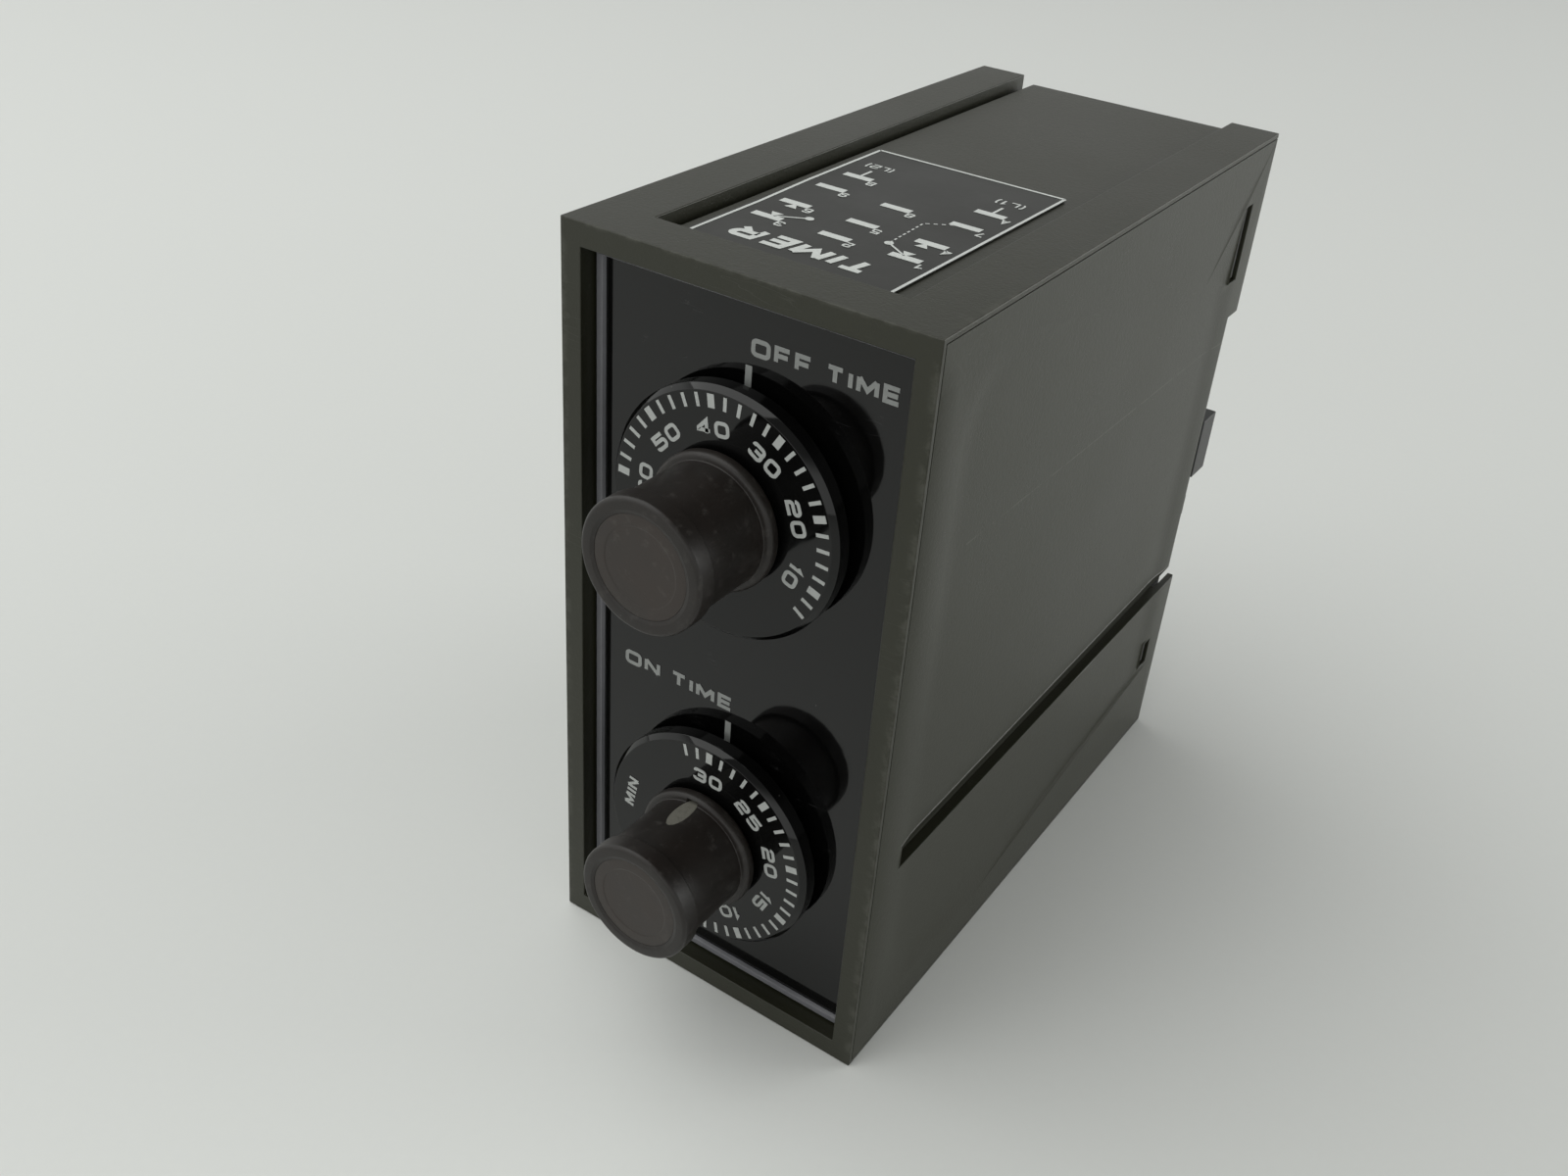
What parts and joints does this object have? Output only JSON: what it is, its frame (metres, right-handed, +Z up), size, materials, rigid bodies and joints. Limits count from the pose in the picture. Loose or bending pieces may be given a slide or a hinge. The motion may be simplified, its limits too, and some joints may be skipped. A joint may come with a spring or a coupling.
{
  "type": "panel timer",
  "caption": "Plug-in panel timer: narrow moulded housing with off-time and on-time dial knobs on a recessed front plate and flat blade terminals behind.",
  "frame": {"origin": "centre of the bounding box at its bottom face, on the surface that the timer stands on", "axes": "+X to the right seen from the dials, +Y from the dials to the plug-in blades, +Z up"},
  "size_m": [0.0446, 0.1076, 0.0946],
  "materials": {
    "housing": "satin, fine moulded texture, scuffed",
    "face_plate": "high gloss with white print",
    "dial": "gloss with white scale",
    "knob": "satin, faintly brown",
    "knob_cap": "satin",
    "black_plastic": "satin",
    "label": "printed film",
    "brass": "machined",
    "terminal_brass": "stamped, tinned",
    "plated_steel": "zinc plated",
    "core_steel": "laminated",
    "board": "lacquered laminate",
    "winding": "taped winding",
    "relay_case": "clear moulding",
    "carbon_track": "carbon film",
    "capacitor_sleeve": "shrink sleeve",
    "resistor": "lacquered",
    "set_screw": "plated"
  },
  "bodies": {
    "housing": {"face_plate": "face_plate", "filter_capacitor_1": "capacitor_sleeve", "filter_capacitor_2": "capacitor_sleeve", "front_bracket": "plated_steel", "housing_shell": "housing", "off_time_bushing": "brass", "off_time_nut": "plated_steel", "off_time_pot_case": "plated_steel", "off_time_track": "carbon_track", "on_time_bushing": "brass", "on_time_nut": "plated_steel", "on_time_pot_case": "plated_steel", "on_time_track": "carbon_track", "plug_base": "black_plastic", "power_board": "board", "relay_base": "black_plastic", "relay_case": "relay_case", "relay_coil": "winding", "relay_yoke": "core_steel", "side_cover": "housing", "terminal_1": "terminal_brass", "terminal_2": "terminal_brass", "terminal_3": "terminal_brass", "terminal_4": "terminal_brass", "terminal_5": "terminal_brass", "terminal_6": "terminal_brass", "terminal_7": "terminal_brass", "terminal_8": "terminal_brass", "terminal_9": "terminal_brass", "terminal_a": "terminal_brass", "terminal_b": "terminal_brass", "terminal_board": "board", "timing_board": "board", "timing_chip_1": "black_plastic", "timing_chip_2": "black_plastic", "timing_resistor_1": "resistor", "timing_resistor_2": "resistor", "timing_resistor_3": "resistor", "timing_resistor_4": "resistor", "transformer_coil": "winding", "transformer_core": "core_steel", "wiring_label": "label"},
    "off_time_knob_set": {"off_time_dial": "dial", "off_time_knob": "knob", "off_time_knob_cap": "knob_cap", "off_time_set_screw": "set_screw", "off_time_shaft": "brass", "off_time_wiper": "black_plastic"},
    "on_time_knob_set": {"on_time_dial": "dial", "on_time_knob": "knob", "on_time_knob_cap": "knob_cap", "on_time_set_screw": "set_screw", "on_time_shaft": "brass", "on_time_wiper": "black_plastic"},
    "relay_armature": {"relay_armature": "plated_steel"},
    "latch_tab_left": {"latch_tab_left": "black_plastic"},
    "latch_tab_right": {"latch_tab_right": "black_plastic"}
  },
  "joints": [
    {"name": "off_time_turn", "type": "hinge", "parent": "housing", "child": "off_time_knob_set", "pos_m": [0, -0.03955, 0.0686], "axis": [0, 1, 0], "range_deg": [-130, 91]},
    {"name": "on_time_turn", "type": "hinge", "parent": "housing", "child": "on_time_knob_set", "pos_m": [0, -0.03955, 0.0242], "axis": [0, 1, 0], "range_deg": [-211, 20]},
    {"name": "relay_pull_in", "type": "hinge", "parent": "housing", "child": "relay_armature", "pos_m": [0.0038, 0.01715, 0.062], "axis": [0, 1, 0], "range_deg": [-3, 0], "stiffness_Nm_per_rad": 0.02},
    {"name": "left_latch_squeeze", "type": "hinge", "parent": "housing", "child": "latch_tab_left", "pos_m": [-0.0192, 0.04085, 0.0499], "axis": [0, 0, 1], "range_deg": [-6, 0], "stiffness_Nm_per_rad": 0.3},
    {"name": "right_latch_squeeze", "type": "hinge", "parent": "housing", "child": "latch_tab_right", "pos_m": [0.0192, 0.04085, 0.0499], "axis": [0, 0, 1], "range_deg": [0, 6], "stiffness_Nm_per_rad": 0.3}
  ]
}
